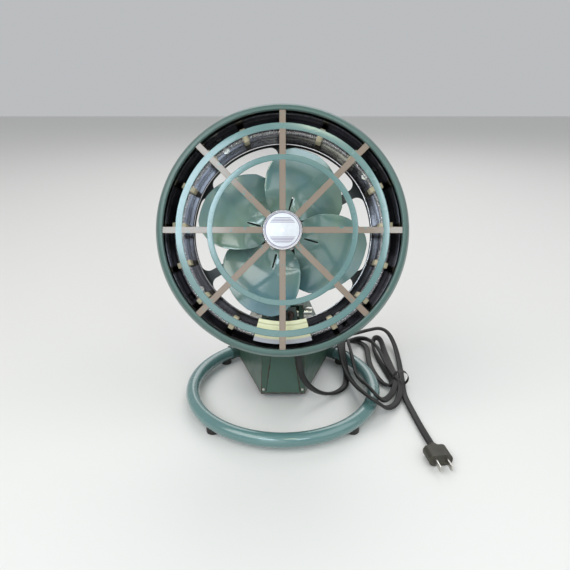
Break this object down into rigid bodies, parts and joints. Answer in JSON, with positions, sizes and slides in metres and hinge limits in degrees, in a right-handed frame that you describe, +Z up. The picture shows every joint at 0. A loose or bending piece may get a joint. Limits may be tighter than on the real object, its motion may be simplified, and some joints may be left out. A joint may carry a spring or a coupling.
{
  "type": "fan heater",
  "caption": "Round tilting fan heater in teal enamel on a tube ring stand, with a spoked grille, open coil element and a plug cord.",
  "frame": {"origin": "centre of the ring stand, on the surface that its feet rest on", "axes": "+Z up, -Y is the side that the grille faces, +X to the right seen from the front"},
  "size_m": [0.3301, 0.3272, 0.3746],
  "materials": {
    "teal_paint": "semi-gloss enamel, lightly worn",
    "dark_teal_paint": "semi-gloss enamel, worn",
    "fan_paint": "gloss enamel",
    "bright_steel": "plated, a little dull",
    "dark_steel": "polished, heat-darkened",
    "heating_wire": "wound resistance wire",
    "chrome": "polished",
    "motor_steel": "painted, laminated core bare",
    "copper_winding": "varnished wire",
    "bronze": "oiled bearing bronze",
    "ceramic": "unglazed ceramic",
    "cream_board": "heat-proof board",
    "black_rubber": "matte",
    "brown_rubber": "matte, aged",
    "cord_black": "ribbed twin flex, dull",
    "bakelite": "moulded phenolic"
  },
  "bodies": {
    "stand": {"ring_base": "teal_paint", "rubber_feet": "black_rubber", "ring_straps": "dark_teal_paint", "pedestal_shell": "dark_teal_paint", "front_panel": "dark_teal_paint", "pedestal_cover": "dark_teal_paint", "cover_screws": "bright_steel", "switch_body": "bakelite", "switch_nut": "bright_steel", "pivot_bolt": "bright_steel", "pivot_nut": "bright_steel", "bevel_washers": "bright_steel", "cheek_spacers": "bright_steel", "cord_bushing": "black_rubber", "cord_lead": "cord_black", "cord_hank": "cord_black", "cord_tail": "cord_black", "cord_tie": "cord_black", "plug_body": "black_rubber", "plug_blades": "bright_steel"},
    "head": {"drum": "teal_paint", "rear_spider": "dark_teal_paint", "front_grille": "teal_paint", "rim_screws": "bright_steel", "badge_rim": "chrome", "badge_plate": "bright_steel", "heat_reflector": "dark_steel", "reflector_posts": "bright_steel", "reflector_screws": "bright_steel", "reflector_nuts": "bright_steel", "ceramic_blocks": "ceramic", "heating_coil_inner": "heating_wire", "heating_coil_outer": "heating_wire", "terminal_cover": "cream_board", "terminal_posts": "bright_steel", "heater_leads": "brown_rubber", "lead_grommet": "brown_rubber", "tilt_bracket": "dark_teal_paint", "bracket_screws": "bright_steel", "bracket_nuts": "bright_steel", "motor_front_bell": "motor_steel", "motor_rear_bell": "motor_steel", "stator_core": "motor_steel", "stator_windings": "copper_winding", "shaft_bushes": "bronze", "motor_studs": "bright_steel", "stud_nuts": "bright_steel", "ear_spacer": "bright_steel"},
    "fan": {"motor_shaft": "bright_steel", "rotor_core": "motor_steel", "fan_hub": "bright_steel", "hub_grub_screw": "bright_steel", "fan_blades": "fan_paint", "blade_rivets": "bright_steel"},
    "switch": {"switch_knob": "bakelite", "switch_spindle": "bright_steel"}
  },
  "joints": [
    {"name": "head_tilt", "type": "hinge", "parent": "stand", "child": "head", "pos_m": [0, -0.004, 0.122], "axis": [1, 0, 0], "range_deg": [-20, 21]},
    {"name": "fan_spin", "type": "hinge", "parent": "head", "child": "fan", "pos_m": [0, -0.062, 0.247], "axis": [0, -0.9336, 0.3584], "continuous": true},
    {"name": "switch_turn", "type": "hinge", "parent": "stand", "child": "switch", "pos_m": [0, 0.062, 0.0724], "axis": [0, 0.7623, 0.6472], "range_deg": [0, 120]}
  ]
}
